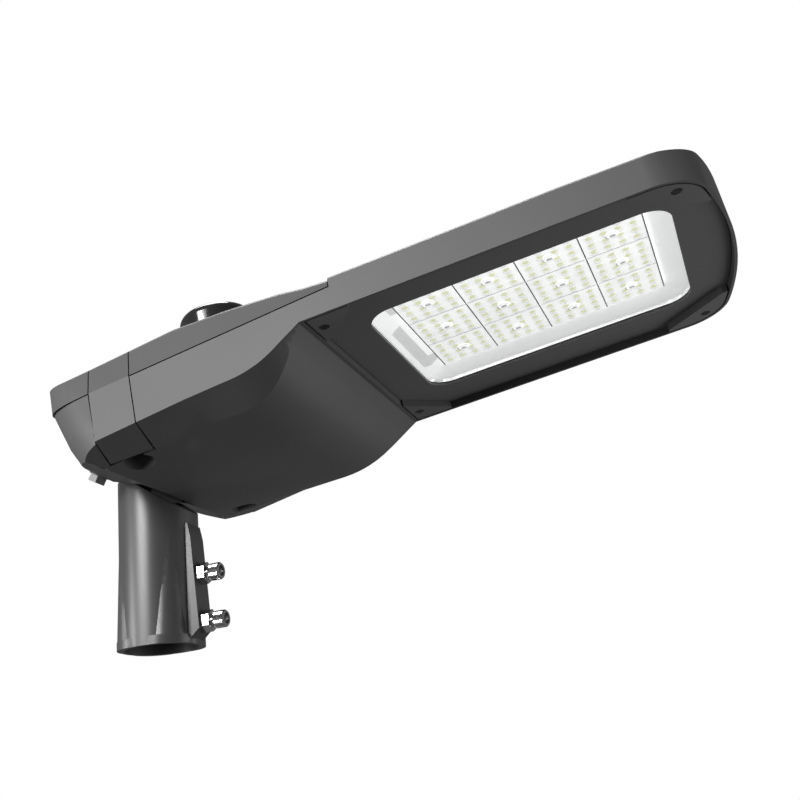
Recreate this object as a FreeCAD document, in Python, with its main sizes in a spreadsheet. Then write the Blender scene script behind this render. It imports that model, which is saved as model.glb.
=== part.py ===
import FreeCAD, Part
import math
import os
import Sketcher

V = FreeCAD.Vector
doc = FreeCAD.newDocument("street_light_head")
sheet = doc.addObject("Spreadsheet::Sheet", "sizes")

# Driving dimensions in millimetres, angles in degrees.
# The part's frame has its origin in the mouth of the pole socket, +Z up the pole and +X towards the nose.
# The head has a frame of its own with its origin on the tilt pivot. It is turned nose up by the tilt.
SIZES = {
    # spigot that sits on the pole
    "pivot_height": 152,
    "pivot_back": 2.3,
    "tube_diameter": 67.5,
    "socket_bore": 61,
    "socket_depth": 94,
    "throat_bore": 42,
    "flange_height": 7,
    "flange_side": 66,
    "flange_corner": 24,
    "lobe_height": 130,
    "lobe_radius": 19,
    "pad_reach": 41.5,
    "pad_top_reach": 36.3,
    "pad_width": 22,
    "pad_top": 100,
    "cut_drop": 41,
    "cut_angle": 35,
    "shoulder_drop": 8.5,
    "knuckle_radius": 18,
    "knuckle_width": 50,
    "pivot_thread": 10,
    "tilt": 7.5,
    "set_thread": 10,
    "set_low": 17,
    "set_high": 57,
    "set_head": 14.5,
    "set_nut_height": 7,
    "set_nut_flats": 16,
    # outline of the head
    "half_width": 134,
    "nose": 524,
    "nose_bow": 430,
    "nose_corner": 40,
    "tail": 38,
    "tail_bow": 700,
    "tail_corner": 58,
    "wall": 3,
    # deck over the lamps
    "rim_level": 18.3,
    "rim_width": 2.6,
    "edge_level": 43.8,
    "edge_bevel": 2.2,
    "crown_level": 71,
    "deck_start": 207,
    "fin_depth": 10,
    "fin_slot": 6,
    "fin_pitch": 16,
    "fin_start": 268,
    "fin_length": 176,
    # cover over the gear
    "cover_front": 235,
    "seam_front": 37.7,
    "seam_slope": 0.0593,
    "seam_arch": 28,
    "seam_gap": 1,
    "cover_rim": 7,
    "hinge_level": 74,
    "hinge_radius": 4,
    "hinge_pin": 4,
    "hinge_place": 40,
    "hinge_width": 10,
    # recess for the spigot
    "recess_half": 38,
    "recess_front": 20,
    "recess_top": 24,
    "recess_skin": 3,
    "ear_radius": 12,
    "rear_bolt_place": 50,
    "rear_bolt_thread": 8,
    # latch straps
    "strap_start": 27.4,
    "strap_width": 36,
    "strap_depth": 3.5,
    "strap_lip": 8.2,
    "strap_slant_rear": 0.268,
    "strap_slant_front": 0.195,
    "strap_gap": 1,
    "strap_eye": 3.2,
    "latch_pin": 3,
    "latch_reach": 33.3,
    "latch_level": -22,
    "finger_radius": 12.5,
    "finger_place": 37,
    "finger_reach": 45,
    "finger_top": -10,
    # window and lamps
    "frame_level": 24.8,
    "frame_thick": 2,
    "frame_gap": 0.6,
    "window_start": 243.7,
    "window_length": 239.1,
    "window_width": 181,
    "window_corner": 22,
    "glass_thick": 3,
    "glass_lap": 7,
    "gasket_thick": 1.2,
    "lens_level": 38.4,
    "lens_side": 50,
    "lens_pitch": 50.5,
    "lens_thick": 4,
    "lens_start": 261.6,
    "board_thick": 1.6,
    "board_margin": 4,
    "reflector_skin": 1.5,
    "cap_level": 18.4,
    "cap_gap": 1.6,
    "cap_screw": 4,
    # sensor on the cover
    "sensor_place": 84,
    "sensor_radius": 33,
    "sensor_top": 128,
    "sensor_shoulder": 118.5,
    "sensor_wall": 2.5,
    "socket_level": 88,
    "socket_radius": 32,
    "socket_height": 10,
    "socket_stem": 23,
    # gear
    "gear_level": -13.5,
    "tray_half": 72,
    "tray_start": 27,
    "tray_length": 109,
    "tray_thick": 2,
    "driver_length": 150,
    "driver_width": 66,
    "driver_height": 36,
    "driver_place": 62,
    "surge_length": 60,
    "surge_width": 28,
    "surge_height": 27,
    "block_length": 40,
    "block_width": 22,
    "block_height": 20,
    "gland_thread": 20,
    "fit": 0.3,
}
for row, (alias, value) in enumerate(SIZES.items(), 1):
    sheet.set(f"A{row}", alias)
    sheet.set(f"B{row}", str(value))
    sheet.setAlias(f"B{row}", alias)
doc.recompute()

NODES = {}


def size(expression):
    """The value of an expression of sheet cells."""
    value = sheet.evalExpression(str(expression))
    return float(getattr(value, "Value", value))


def body(name):
    return doc.addObject("PartDesign::Body", name)


def sketch(owner, name, plane, level="0"):
    """An empty sketch on one of the body's own origin planes, moved along the plane's normal by level."""
    made = owner.newObject("Sketcher::SketchObject", name)
    base = next(item for item in owner.Origin.OriginFeatures if item.Role == plane)
    made.AttachmentSupport = [(base, "")]
    made.MapMode = "FlatFace"
    made.setExpression("AttachmentOffset.Base.z", str(level))
    return made


def pin_point(made, index, position, spot):
    """Binds a sketch point to a pair of expressions, measured from the sketch's origin."""
    for kind, expression in zip(("DistanceX", "DistanceY"), spot):
        rule = Sketcher.Constraint(kind, -1, 1, index, position, size(expression))
        made.setExpression(f"Constraints[{made.addConstraint(rule)}]", str(expression))


def outline(made, spots, arcs=None):
    """A closed outline through spots. arcs gives, for a side, the point that the arc there passes."""
    arcs = arcs or {}
    places = [V(size(a), size(b), 0) for a, b in spots]
    ends = []
    for side, start in enumerate(places):
        stop = places[(side + 1) % len(places)]
        if side in arcs:
            middle = V(size(arcs[side][0]), size(arcs[side][1]), 0)
            index = made.addGeometry(Part.Arc(start, middle, stop), False)
            first = 1 if made.getPoint(index, 1).distanceToPoint(start) < 1e-6 else 2
        else:
            index = made.addGeometry(Part.LineSegment(start, stop), False)
            first = 1
        ends.append((index, first, 3 - first))
    for side, (index, first, last) in enumerate(ends):
        follower = ends[(side + 1) % len(ends)]
        made.addConstraint(Sketcher.Constraint("Coincident", index, last, follower[0], follower[1]))
        pin_point(made, index, first, spots[side])
    for side, spot in arcs.items():
        point = made.addGeometry(Part.Point(V(size(spot[0]), size(spot[1]), 0)), True)
        pin_point(made, point, 1, spot)
        made.addConstraint(Sketcher.Constraint("PointOnObject", point, 1, ends[side][0]))
    return made


def circle(made, centre, radius):
    """A circle with its centre and radius bound to expressions."""
    shape = Part.Circle(V(size(centre[0]), size(centre[1]), 0), V(0, 0, 1), size(radius))
    index = made.addGeometry(shape, False)
    pin_point(made, index, 3, centre)
    rule = made.addConstraint(Sketcher.Constraint("Radius", index, size(radius)))
    made.setExpression(f"Constraints[{rule}]", str(radius))
    return made


def rounded(made, centre, half, radius):
    """A rectangle with four round corners. half is a pair of half sides."""
    cx, cy = centre
    hx, hy = half
    near = 1 - math.sqrt(0.5)
    spots = []
    arcs = {}
    for sx, sy in ((1, 1), (-1, 1), (-1, -1), (1, -1)):
        flat = (f"{cx} + {sx} * ({hx})", f"{cy} + {sy} * ({hy} - ({radius}))")
        high = (f"{cx} + {sx} * ({hx} - ({radius}))", f"{cy} + {sy} * ({hy})")
        pair = (flat, high) if sx == sy else (high, flat)
        arcs[len(spots)] = (f"{cx} + {sx} * ({hx} - {near} * ({radius}))",
                            f"{cy} + {sy} * ({hy} - {near} * ({radius}))")
        spots.extend(pair)
    return outline(made, spots, arcs)


def pad(owner, name, profile, length, reverse=False):
    made = owner.newObject("PartDesign::Pad", name)
    made.Profile = profile
    made.Reversed = reverse
    made.setExpression("Length", str(length))
    return made


def pocket(owner, name, profile, depth=None, reverse=False):
    """A pocket of the given depth, or one that goes through everything."""
    made = owner.newObject("PartDesign::Pocket", name)
    made.Profile = profile
    made.Reversed = reverse
    if depth is None:
        made.Type = "ThroughAll"
        made.Midplane = True
    else:
        made.setExpression("Length", str(depth))
    return made


def loft(owner, name, sections, ruled=False):
    made = owner.newObject("PartDesign::AdditiveLoft", name)
    made.Profile = sections[0]
    made.Sections = sections[1:]
    made.Ruled = ruled
    return made


def turned(owner, name, profile):
    """A full revolution about the vertical axis of the profile's sketch."""
    made = owner.newObject("PartDesign::Revolution", name)
    made.Profile = profile
    made.ReferenceAxis = (profile, ["V_Axis"])
    made.Angle = 360
    return made


def joined(kind, name, shapes):
    made = doc.addObject(f"Part::Multi{kind}", name)
    made.Shapes = shapes
    made.Refine = True
    return made


def cut(name, base, tool):
    made = doc.addObject("Part::Cut", name)
    made.Base = base
    made.Tool = tool
    made.Refine = True
    return made


def cut_all(name, base, tools):
    """Takes the tools away from base, one after the other."""
    for number, tool in enumerate(tools, 1):
        base = cut(f"{name}_{number}", base, tool)
    return base


def block(name, low, high):
    """A box between two corners given as expressions."""
    made = doc.addObject("Part::Box", name)
    for side, a, b in zip(("Length", "Width", "Height"), low, high):
        made.setExpression(side, f"({b}) - ({a})")
    for axis, a in zip("xyz", low):
        made.setExpression(f"Placement.Base.{axis}", str(a))
    return made


def lay(made, spot, along):
    """Lays an upright rod or prism along one axis, from spot."""
    if along == "y":
        made.Placement.Rotation = FreeCAD.Rotation(V(1, 0, 0), -90)
    if along == "x":
        made.Placement.Rotation = FreeCAD.Rotation(V(0, 1, 0), 90)
    for axis, value in zip("xyz", spot):
        made.setExpression(f"Placement.Base.{axis}", str(value))
    return made


def rod(name, spot, radius, length, along="z"):
    """A cylinder from spot along one axis, given as expressions."""
    made = doc.addObject("Part::Cylinder", name)
    made.setExpression("Radius", str(radius))
    made.setExpression("Height", str(length))
    return lay(made, spot, along)


def nut_prism(name, spot, flats, length, along="z"):
    """A six-sided prism with its width across flats, from spot along one axis."""
    made = doc.addObject("Part::Prism", name)
    made.Polygon = 6
    made.setExpression("Circumradius", f"({flats}) / sqrt(3)")
    made.setExpression("Height", str(length))
    return lay(made, spot, along)


def group(name, shapes):
    made = doc.addObject("Part::Compound", name)
    made.Links = shapes
    return made


def keep(node, made):
    """Names a finished sub-part. Its Label names its file."""
    made.Label = node
    NODES[node] = made
    return made


def keep_on_head(node, made):
    """Names a sub-part that was drawn in the head's frame and sets it at the head's tilt."""
    made.Placement = FreeCAD.Placement(V(0, 0, 0), FreeCAD.Rotation(V(0, -1, 0), 1))
    made.setExpression("Placement.Base.x", "-sizes.pivot_back")
    made.setExpression("Placement.Base.z", "sizes.pivot_height")
    made.setExpression("Placement.Rotation.Angle", "sizes.tilt * 1 deg")
    return keep(node, made)


# The screw pad's outer face leans in from its low edge to its high edge.
PAD_LOW = "(sizes.set_low - 6)"
PAD_HIGH = "(sizes.pad_top - 12)"


def nut_seat(level):
    """How far out the pad's flat seat for the lock nut at this level lies."""
    lean = f"(sizes.pad_reach - sizes.pad_top_reach) / ({PAD_HIGH} - {PAD_LOW})"
    return f"(sizes.pad_reach - ({level} - 9 - {PAD_LOW}) * {lean})"


def spigot_shell():
    """The tube with its flange, four lobes, screw pad and the foot of the knuckle."""
    part = body("spigot_body")
    flange = rounded(sketch(part, "flange_plan", "XY_Plane"), ("0", "0"),
                     ("sizes.flange_side / 2", "sizes.flange_side / 2"), "sizes.flange_corner")
    pad(part, "flange", flange, "sizes.flange_height")
    plan = circle(sketch(part, "tube_plan", "XY_Plane"), ("0", "0"), "sizes.tube_diameter / 2")
    pad(part, "tube", plan, "sizes.pivot_height - sizes.shoulder_drop")
    side = outline(sketch(part, "pad_side", "XZ_Plane"), [
        ("sizes.tube_diameter / 4", "sizes.flange_height / 2"),
        ("sizes.flange_side / 2", "sizes.flange_height / 2"),
        ("sizes.pad_reach", PAD_LOW),
        ("sizes.pad_top_reach", PAD_HIGH),
        ("sizes.tube_diameter / 2", "sizes.pad_top"),
        ("sizes.tube_diameter / 4", "sizes.pad_top"),
    ])
    ridge = pad(part, "screw_pad", side, "sizes.pad_width")
    ridge.Midplane = True
    return part


def lobes():
    """Four cones that grow from the tube into the flange's corners."""
    made = []
    reach = "((sizes.flange_side / 2 - sizes.flange_corner) * sqrt(2) + sizes.flange_corner)"
    foot = f"({reach} - sizes.lobe_radius)"
    top = "(sizes.tube_diameter / 2 - 5)"
    for number, turn in enumerate((45, 135, 225, 315), 1):
        cone = doc.addObject("Part::Cone", f"lobe_{number}")
        cone.setExpression("Radius1", "sizes.lobe_radius")
        cone.Radius2 = 4
        cone.setExpression("Height", "sizes.lobe_height")
        lean = math.degrees(math.atan2(size(top) - size(foot), size("sizes.lobe_height")))
        cone.Placement.Rotation = FreeCAD.Rotation(turn, lean, 0)
        cone.setExpression("Placement.Base.x", f"{foot} * cos({turn} deg)")
        cone.setExpression("Placement.Base.y", f"{foot} * sin({turn} deg)")
        made.append(cone)
    return made


def spigot():
    outer = joined("Fuse", "spigot_outer", [spigot_shell()] + lobes())
    floor = block("spigot_floor", ("-60", "-60", "-20"), ("60", "60", "0"))
    tools = body("spigot_tools")
    side = sketch(tools, "bore_side", "XZ_Plane")
    outline(side, [
        ("0", "-1"),
        ("sizes.socket_bore / 2", "-1"),
        ("sizes.socket_bore / 2", "sizes.socket_depth"),
        ("sizes.throat_bore / 2", "sizes.socket_depth"),
        ("sizes.throat_bore / 2", "sizes.pivot_height"),
        ("0", "sizes.pivot_height"),
    ])
    turned(tools, "bores", side)
    slope = body("spigot_slope")
    front = "(sizes.tube_diameter / 2)"
    rise = "tan(sizes.cut_angle * 1 deg)"
    outline_side = outline(sketch(slope, "slope_side", "XZ_Plane"), [
        (f"{front} + 20", f"sizes.pivot_height - sizes.cut_drop - 20 * {rise}"),
        (f"{front} + 20", "sizes.pivot_height + 30"),
        (f"-{front}", "sizes.pivot_height + 30"),
        (f"-{front}", f"sizes.pivot_height - sizes.cut_drop + 2 * {front} * {rise}"),
    ])
    pad(slope, "slope_block", outline_side, "100").Midplane = True
    hollow = joined("Fuse", "spigot_hollow", [floor, tools, slope])
    tube = cut("spigot_tube", outer, hollow)
    neck = body("neck")
    shape = outline(sketch(neck, "neck_side", "XZ_Plane"), [
        ("-sizes.pivot_back - sizes.knuckle_radius", "sizes.pivot_height"),
        ("-sizes.pivot_back - sizes.knuckle_radius", "sizes.pivot_height - 2.2 * sizes.knuckle_radius"),
        ("0.2 * sizes.knuckle_radius", "sizes.pivot_height - 2.2 * sizes.knuckle_radius"),
        ("-sizes.pivot_back + sizes.knuckle_radius", "sizes.pivot_height"),
    ], {3: ("-sizes.pivot_back", "sizes.pivot_height + sizes.knuckle_radius")})
    pad(neck, "neck_block", shape, "sizes.knuckle_width").Midplane = True
    seats = []
    for name, level in (("low", "sizes.set_low"), ("high", "sizes.set_high")):
        start = "(sizes.socket_bore / 2 + 1)"
        seats.append(rod(f"nut_seat_{name}", (start, "0", level), "sizes.set_nut_flats / sqrt(3)",
                         f"{nut_seat(level)} - {start}", "x"))
    whole = joined("Fuse", "spigot_whole", [tube, neck] + seats)
    holes = [rod("pivot_hole", ("-sizes.pivot_back", "-40", "sizes.pivot_height"),
                 "sizes.pivot_thread / 2 + sizes.fit", "80", "y")]
    for name, level in (("low", "sizes.set_low"), ("high", "sizes.set_high")):
        holes.append(rod(f"set_hole_{name}", ("20", "0", level), "sizes.set_thread / 2 + 0.05", "40", "x"))
    return keep("spigot", cut("spigot_cast", whole, joined("Fuse", "spigot_holes", holes)))


def set_screws():
    """Two socket-head screws with lock nuts that clamp the pole."""
    screws = []
    nuts = []
    shank_start = "sizes.socket_bore / 2 + sizes.fit"
    for name, level in (("low", "sizes.set_low"), ("high", "sizes.set_high")):
        nut_start = nut_seat(level)
        head_start = f"({nut_start} + sizes.set_nut_height + 2.5)"
        shank = rod(f"set_shank_{name}", (shank_start, "0", level), "sizes.set_thread / 2",
                    f"{head_start} - ({shank_start}) + 1", "x")
        head = rod(f"set_head_{name}", (head_start, "0", level), "sizes.set_head / 2", "sizes.set_thread", "x")
        drive = nut_prism(f"set_drive_{name}", (f"{head_start} + sizes.set_thread / 2", "0", level),
                          "0.8 * sizes.set_thread", "sizes.set_thread", "x")
        screws.append(cut(f"set_screw_{name}", joined("Fuse", f"set_solid_{name}", [shank, head]), drive))
        nut = nut_prism(f"set_nut_solid_{name}", (nut_start, "0", level), "sizes.set_nut_flats",
                        "sizes.set_nut_height", "x")
        bore = rod(f"set_nut_bore_{name}", (f"{nut_start} - 1", "0", level), "sizes.set_thread / 2 + 0.05",
                   "sizes.set_nut_height + 2", "x")
        nuts.append(cut(f"set_nut_{name}", nut, bore))
    keep("set_screws", group("set_screw_group", screws))
    keep("lock_nuts", group("lock_nut_group", nuts))


def corner(end, bow, wide, radius, sign):
    """Where a round corner leaves the side, its middle, and where it meets the bowed end, for positive y.

    The bow is an arc of the given radius through (end, 0). sign is 1 at the nose and -1 at the tail.
    """
    inner = f"(({bow}) - ({radius}))"
    rise = f"({wide} - ({radius}))"
    turn = f"((90 deg + asin({rise} / {inner})) / 2)"
    centre = f"({end} - {sign} * ({bow}) + {sign} * sqrt(({inner})^2 - ({rise})^2))"
    bow_centre = f"({end} - {sign} * ({bow}))"
    ratio = f"(({bow}) / {inner})"
    leaves = (centre, wide)
    middle = (f"{centre} + {sign} * ({radius}) * cos({turn})", f"{rise} + ({radius}) * sin({turn})")
    meets = (f"{bow_centre} + ({centre} - {bow_centre}) * {ratio}", f"{rise} * {ratio}")
    return leaves, middle, meets


def mirrored(spot):
    return (spot[0], f"-({spot[1]})")


def plan_outline(made, inset, shift="0"):
    """The head's outline seen from above, moved in by inset. shift moves the tail towards the nose."""
    wide = f"(sizes.half_width - ({inset}))"
    nose = f"(sizes.nose - ({inset}))"
    tail = f"(-sizes.tail + ({inset}) + ({shift}))"
    front = corner(nose, f"(sizes.nose_bow - ({inset}))", wide, f"(sizes.nose_corner - ({inset}))", 1)
    rear = corner(tail, f"(sizes.tail_bow - ({inset}))", wide, f"(sizes.tail_corner - ({inset}))", -1)
    spots = [mirrored(rear[0]), mirrored(front[0]), mirrored(front[2]), front[2],
             front[0], rear[0], rear[2], mirrored(rear[2])]
    arcs = {1: mirrored(front[1]), 2: (nose, "0"), 3: front[1],
            5: rear[1], 6: (tail, "0"), 7: mirrored(rear[1])}
    return outline(made, spots, arcs)


def plan_prism(name, low, high, inset):
    """A prism on the head's outline between two levels."""
    part = body(name)
    plan = plan_outline(sketch(part, f"{name}_plan", "XY_Plane", low), inset)
    pad(part, f"{name}_prism", plan, f"({high}) - ({low})")
    return part


def seam(x):
    """Level of the seam between housing and cover at the side, at a distance from the pivot."""
    return f"(sizes.seam_front - (sizes.cover_front - ({x})) * sizes.seam_slope)"


# Cross-sections of the gear end for a head of this half width and deck start. Each gives the distance
# from the pivot, the lower edge of the upright side, half width and level of the crease to the belly,
# and the level of the belly's middle.
DRAWN_HALF = 134
DRAWN_DECK = 207
SLOPE_START = 136
GEAR_SECTIONS = (
    (-46, -17, 94, -24, -31),
    (27, -15.2, 97, -22.6, -30.5),
    (108, -8.2, 103, -21.8, -28.5),
    (136, -6.6, 105, -21.6, -26.8),
    (150, -5.8, 106.5, -20.2, -24.4),
    (161, -3.9, 108.5, -17.2, -20.4),
    (171, -1, 111.5, -12.6, -15.2),
    (180, 3, 115.5, -6.4, -8.4),
    (189, 8, 120, 2, 0.8),
    (198, 13, 126, 10.6, 10),
    (207, 17.9, 133, 17.4, 17.2),
)

# Cross-sections of the cover: distance from the pivot, how far the side leans in at the top,
# level of the side's top edge and of the crown.
COVER_SECTIONS = (
    (-46, 4.5, 40.3, 70.5),
    (-10, 4.5, 43.3, 77.5),
    (27, 4.5, 45.9, 82),
    (104, 4, 52.1, 87.5),
    (150, 3, 50.4, 84.5),
    (195, 2, 46.6, 78.2),
    (215, 1.5, 43.4, 74.4),
    (235, 1, 41.8, 71),
)

# Cross-sections of the deck: how far it lies behind the nose, how far its side's top edge and its crown
# lie below the levels at its middle.
DECK_SECTIONS = (
    (254, 0.4, 0),
    (110, 0, 0.6),
    (45, 1.2, 5.4),
    (15, 5, 12.6),
    (-4, 7, 16.2),
)

# The slope of the tail: levels, and how far the tail has moved in there.
TAIL_SECTIONS = ((37, 0), (2, 12), (-18, 22.3), (-60, 58))


def across(value):
    """A width that was drawn for the reference half width, as an expression."""
    return f"({value} / {DRAWN_HALF} * sizes.half_width)"


def along(value):
    """A distance from the pivot that was drawn for the reference deck start, as an expression."""
    return f"({value} / {DRAWN_DECK} * sizes.deck_start)"


def blended(sections, x, column):
    """A value at a place between two drawn sections, as an expression."""
    first = next(row for row in reversed(sections) if row[0] <= x)
    second = next(row for row in sections if row[0] > x)
    share = (x - first[0]) / (second[0] - first[0])
    return first[column] + share * (second[column] - first[column])


def refined(sections, start):
    """The sections with one more between each pair from start on, on a smooth curve through them."""
    rows = []
    for number, row in enumerate(sections[:-1]):
        rows.append(row)
        if row[0] >= start:
            before = sections[number - 1]
            after = sections[min(number + 2, len(sections) - 1)]
            rows.append(tuple((9 * (a + b) - c - d) / 16
                              for a, b, c, d in zip(row, sections[number + 1], before, after)))
    return rows + [sections[-1]]


def gear_form(name, sections, inset, lift, top_drop):
    """The gear end as a loft. inset moves its sides in, lift moves its belly up."""
    part = body(name)
    faces = []
    for x, fold, half, crease, belly in sections:
        wide = f"(sizes.half_width - ({inset}))"
        low = f"({across(half)} - 0.8 * ({inset}))"
        top = f"({seam(along(x))} - ({top_drop}))"
        face = sketch(part, f"{name}_{len(faces)}", "YZ_Plane", along(x))
        outline(face, [
            (f"-{wide}", top),
            (f"-{wide}", f"{fold} + 0.5 * ({lift})"),
            (f"-{low}", f"{crease} + ({lift})"),
            (low, f"{crease} + ({lift})"),
            (wide, f"{fold} + 0.5 * ({lift})"),
            (wide, top),
        ], {2: ("0", f"{belly} + ({lift})"), 5: ("0", f"{top} + sizes.seam_arch")})
        faces.append(face)
    loft(part, f"{name}_loft", faces, True)
    return part


def cover_form(name, drop, floor=None):
    """The cover's outer form over the seam, or with a flat floor the space inside it."""
    part = body(name)
    faces = []
    for x, lean, edge, crown in COVER_SECTIONS:
        place = f"({x} / 235 * sizes.cover_front)"
        wide = "sizes.half_width"
        top = f"({wide} - {lean} - ({drop}))"
        bottom = seam(place) if floor is None else floor
        face = sketch(part, f"{name}_{len(faces)}", "YZ_Plane", place)
        spots = [
            (f"-({wide} - ({drop}))", bottom),
            (f"-{top}", f"{edge} - ({drop})"),
            (f"-({top} - sizes.edge_bevel)", f"{edge} + sizes.edge_bevel - ({drop})"),
            (f"{top} - sizes.edge_bevel", f"{edge} + sizes.edge_bevel - ({drop})"),
            (top, f"{edge} - ({drop})"),
            (f"{wide} - ({drop})", bottom),
        ]
        arcs = {2: ("0", f"{crown} - ({drop})")}
        if floor is None:
            arcs[5] = ("0", f"{bottom} + sizes.seam_arch")
        outline(face, spots, arcs)
        faces.append(face)
    loft(part, f"{name}_loft", faces, True)
    return part


def deck_form():
    """The deck over the lamps: a ledge under the cover's front edge, then the crowned top."""
    ledge = body("ledge")
    faces = []
    for x in ("sizes.deck_start", "sizes.cover_front + sizes.seam_gap"):
        top = f"({seam(x)} - sizes.seam_gap)"
        face = sketch(ledge, f"ledge_{len(faces)}", "YZ_Plane", x)
        outline(face, [
            ("-sizes.half_width", top),
            ("-sizes.half_width", "sizes.rim_level"),
            ("sizes.half_width", "sizes.rim_level"),
            ("sizes.half_width", top),
        ], {3: ("0", f"{top} + sizes.seam_arch")})
        faces.append(face)
    loft(ledge, "ledge_loft", faces, True)
    return [ledge, crown_form("deck", "0")]


def crown_form(name, drop):
    """The crowned top of the deck, or with a drop the level under the fins."""
    part = body(name)
    faces = []
    for behind, edge_fall, crown_fall in DECK_SECTIONS:
        face = sketch(part, f"{name}_{len(faces)}", "YZ_Plane", deck_place(behind))
        wide = "sizes.half_width"
        edge = f"(sizes.edge_level - {edge_fall} - ({drop}))"
        outline(face, [
            (f"-{wide}", edge),
            (f"-{wide}", "sizes.rim_level"),
            (wide, "sizes.rim_level"),
            (wide, edge),
            (f"{wide} - sizes.edge_bevel", f"{edge} + sizes.edge_bevel"),
            (f"-({wide} - sizes.edge_bevel)", f"{edge} + sizes.edge_bevel"),
        ], {4: ("0", f"sizes.crown_level - {crown_fall} - ({drop})")})
        faces.append(face)
    loft(part, f"{name}_loft", faces, True)
    return part


def deck_place(behind):
    """A distance from the pivot that was drawn as one behind the nose."""
    if behind < DECK_SECTIONS[0][0]:
        return f"(sizes.nose - {behind})"
    return "(sizes.cover_front + sizes.seam_gap)"


def head_limits(name, inset):
    """What lies inside the head's outline. Its tail slopes in towards the belly."""
    top = TAIL_SECTIONS[0][0]
    upper = plan_prism(f"{name}_upper", str(top), "150", inset)
    lower = body(f"{name}_lower")
    faces = [plan_outline(sketch(lower, f"{name}_lower_{number}", "XY_Plane", str(level)), inset, str(shift))
             for number, (level, shift) in enumerate(TAIL_SECTIONS)]
    loft(lower, f"{name}_lower_loft", faces, True)
    return joined("Fuse", f"{name}_limits", [upper, lower])


def tail_scoop(name, lift="0"):
    """The space under the tail, where the belly rises towards the rear."""
    part = body(name)
    side = outline(sketch(part, f"{name}_side", "XZ_Plane"), [
        (f"sizes.recess_front + 4 + ({lift})", "-60"),
        (f"sizes.recess_front + 4 + ({lift})", f"-32 + ({lift})"),
        ("sizes.recess_front - 13", f"-20.5 + ({lift})"),
        ("sizes.recess_front - 43", f"-8 + ({lift})"),
        ("-90", f"14 + ({lift})"),
        ("-90", "-60"),
    ])
    pad(part, f"{name}_block", side, "4 * sizes.half_width").Midplane = True
    return part


def recess_tools():
    """The block that walls the spigot's recess in, and the recess itself."""
    skin = "sizes.recess_skin"
    walls = block("recess_walls", ("-sizes.tail - 20", f"-sizes.recess_half - {skin}", "-60"),
                  (f"sizes.recess_front + {skin}", f"sizes.recess_half + {skin}", f"sizes.recess_top + {skin}"))
    space = block("recess_space", (f"-sizes.tail + 2 * {skin}", "-sizes.recess_half", "-60"),
                  ("sizes.recess_front", "sizes.recess_half", "sizes.recess_top"))
    mouth = block("recess_mouth", ("-sizes.tail - 20", "-sizes.recess_half", "-60"),
                  ("0", "sizes.recess_half", "1"))
    return walls, joined("Fuse", "recess", [space, mouth])


EYE_PLACE = "(sizes.half_width - sizes.latch_reach)"
EYE_LEVEL = "(sizes.latch_level + sizes.strap_eye)"
STRAP_SPLIT = "-8"


def strap_section(made, side, x, room):
    """Cross-section of a latch strap, or with room of the way it needs to swing out."""
    place = size(x)
    lean, edge = (blended(COVER_SECTIONS, place, column) for column in (1, 2))
    fold = blended(GEAR_SECTIONS, place, 1)
    slope = lean / (edge - size(seam(x)))
    outer, grow = (6, "sizes.fit") if room else (0, "0")
    face = f"(sizes.half_width - {lean})"
    lip = f"(sizes.half_width - sizes.strap_lip - 2 * ({grow}))"
    ridge = f"({edge} + sizes.edge_bevel + 0.4 * (sizes.strap_lip - {lean} - sizes.edge_bevel))"
    deep = f"(sizes.strap_depth + ({grow}))"
    spots = [
        (lip, f"{ridge} + {outer}"),
        (f"{face} - sizes.edge_bevel + {outer}", f"{edge} + sizes.edge_bevel + {outer}"),
        (f"{face} + {outer}", f"{edge} + {outer}"),
        (f"sizes.half_width + {outer}", seam(x)),
        (f"sizes.half_width + {outer}", f"{fold} - {outer}"),
        (EYE_PLACE, f"sizes.latch_level - {outer}"),
        (EYE_PLACE, f"{EYE_LEVEL} + sizes.strap_eye + ({grow})"),
        (f"sizes.half_width - {deep}", f"{fold} + 0.6 * {deep}"),
        (f"sizes.half_width - {deep}", seam(x)),
        (f"sizes.half_width - {slope} * ({edge} - 3 - {seam(x)}) - {deep}", f"{edge} - 3"),
    ]
    if room:
        spots.append((lip, ridge))
    return outline(made, [(f"{side} * ({y})", z) for y, z in spots])


def side_block(name, side, ways, inner, outer, levels):
    """A box between two places in x, two distances from the middle on one side, and two levels."""
    near, far = (inner, outer) if side > 0 else (f"-({outer})", f"-({inner})")
    return block(name, (ways[0], near, levels[0]), (ways[1], far, levels[1]))


def strap_limit(name, side, gap):
    """Between the edges of a strap, which are upright at the head's side and slanted under it.

    The gap beside them grows to twice its width at the foot, which swings down out of its slanted pocket.
    """
    start = f"(sizes.strap_start - ({gap}))"
    stop = f"(sizes.strap_start + sizes.strap_width + ({gap}))"
    inner = "(sizes.half_width - 44)"
    outer = "(sizes.half_width + 8)"
    high = side_block(f"{name}_high", side, (start, stop), inner, outer, (STRAP_SPLIT, "80"))
    part = body(f"{name}_low")
    plan = outline(sketch(part, f"{name}_plan", "XY_Plane", "-60"), [(x, f"{side} * {y}") for x, y in (
        (start, outer), (stop, outer), (stop, "sizes.half_width"),
        (f"{stop} - 44 * sizes.strap_slant_front + ({gap})", inner),
        (f"{start} - 44 * sizes.strap_slant_rear - ({gap})", inner), (start, "sizes.half_width"))])
    pad(part, f"{name}_pad", plan, f"{STRAP_SPLIT} + 60")
    return joined("Fuse", name, [high, part])


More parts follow.
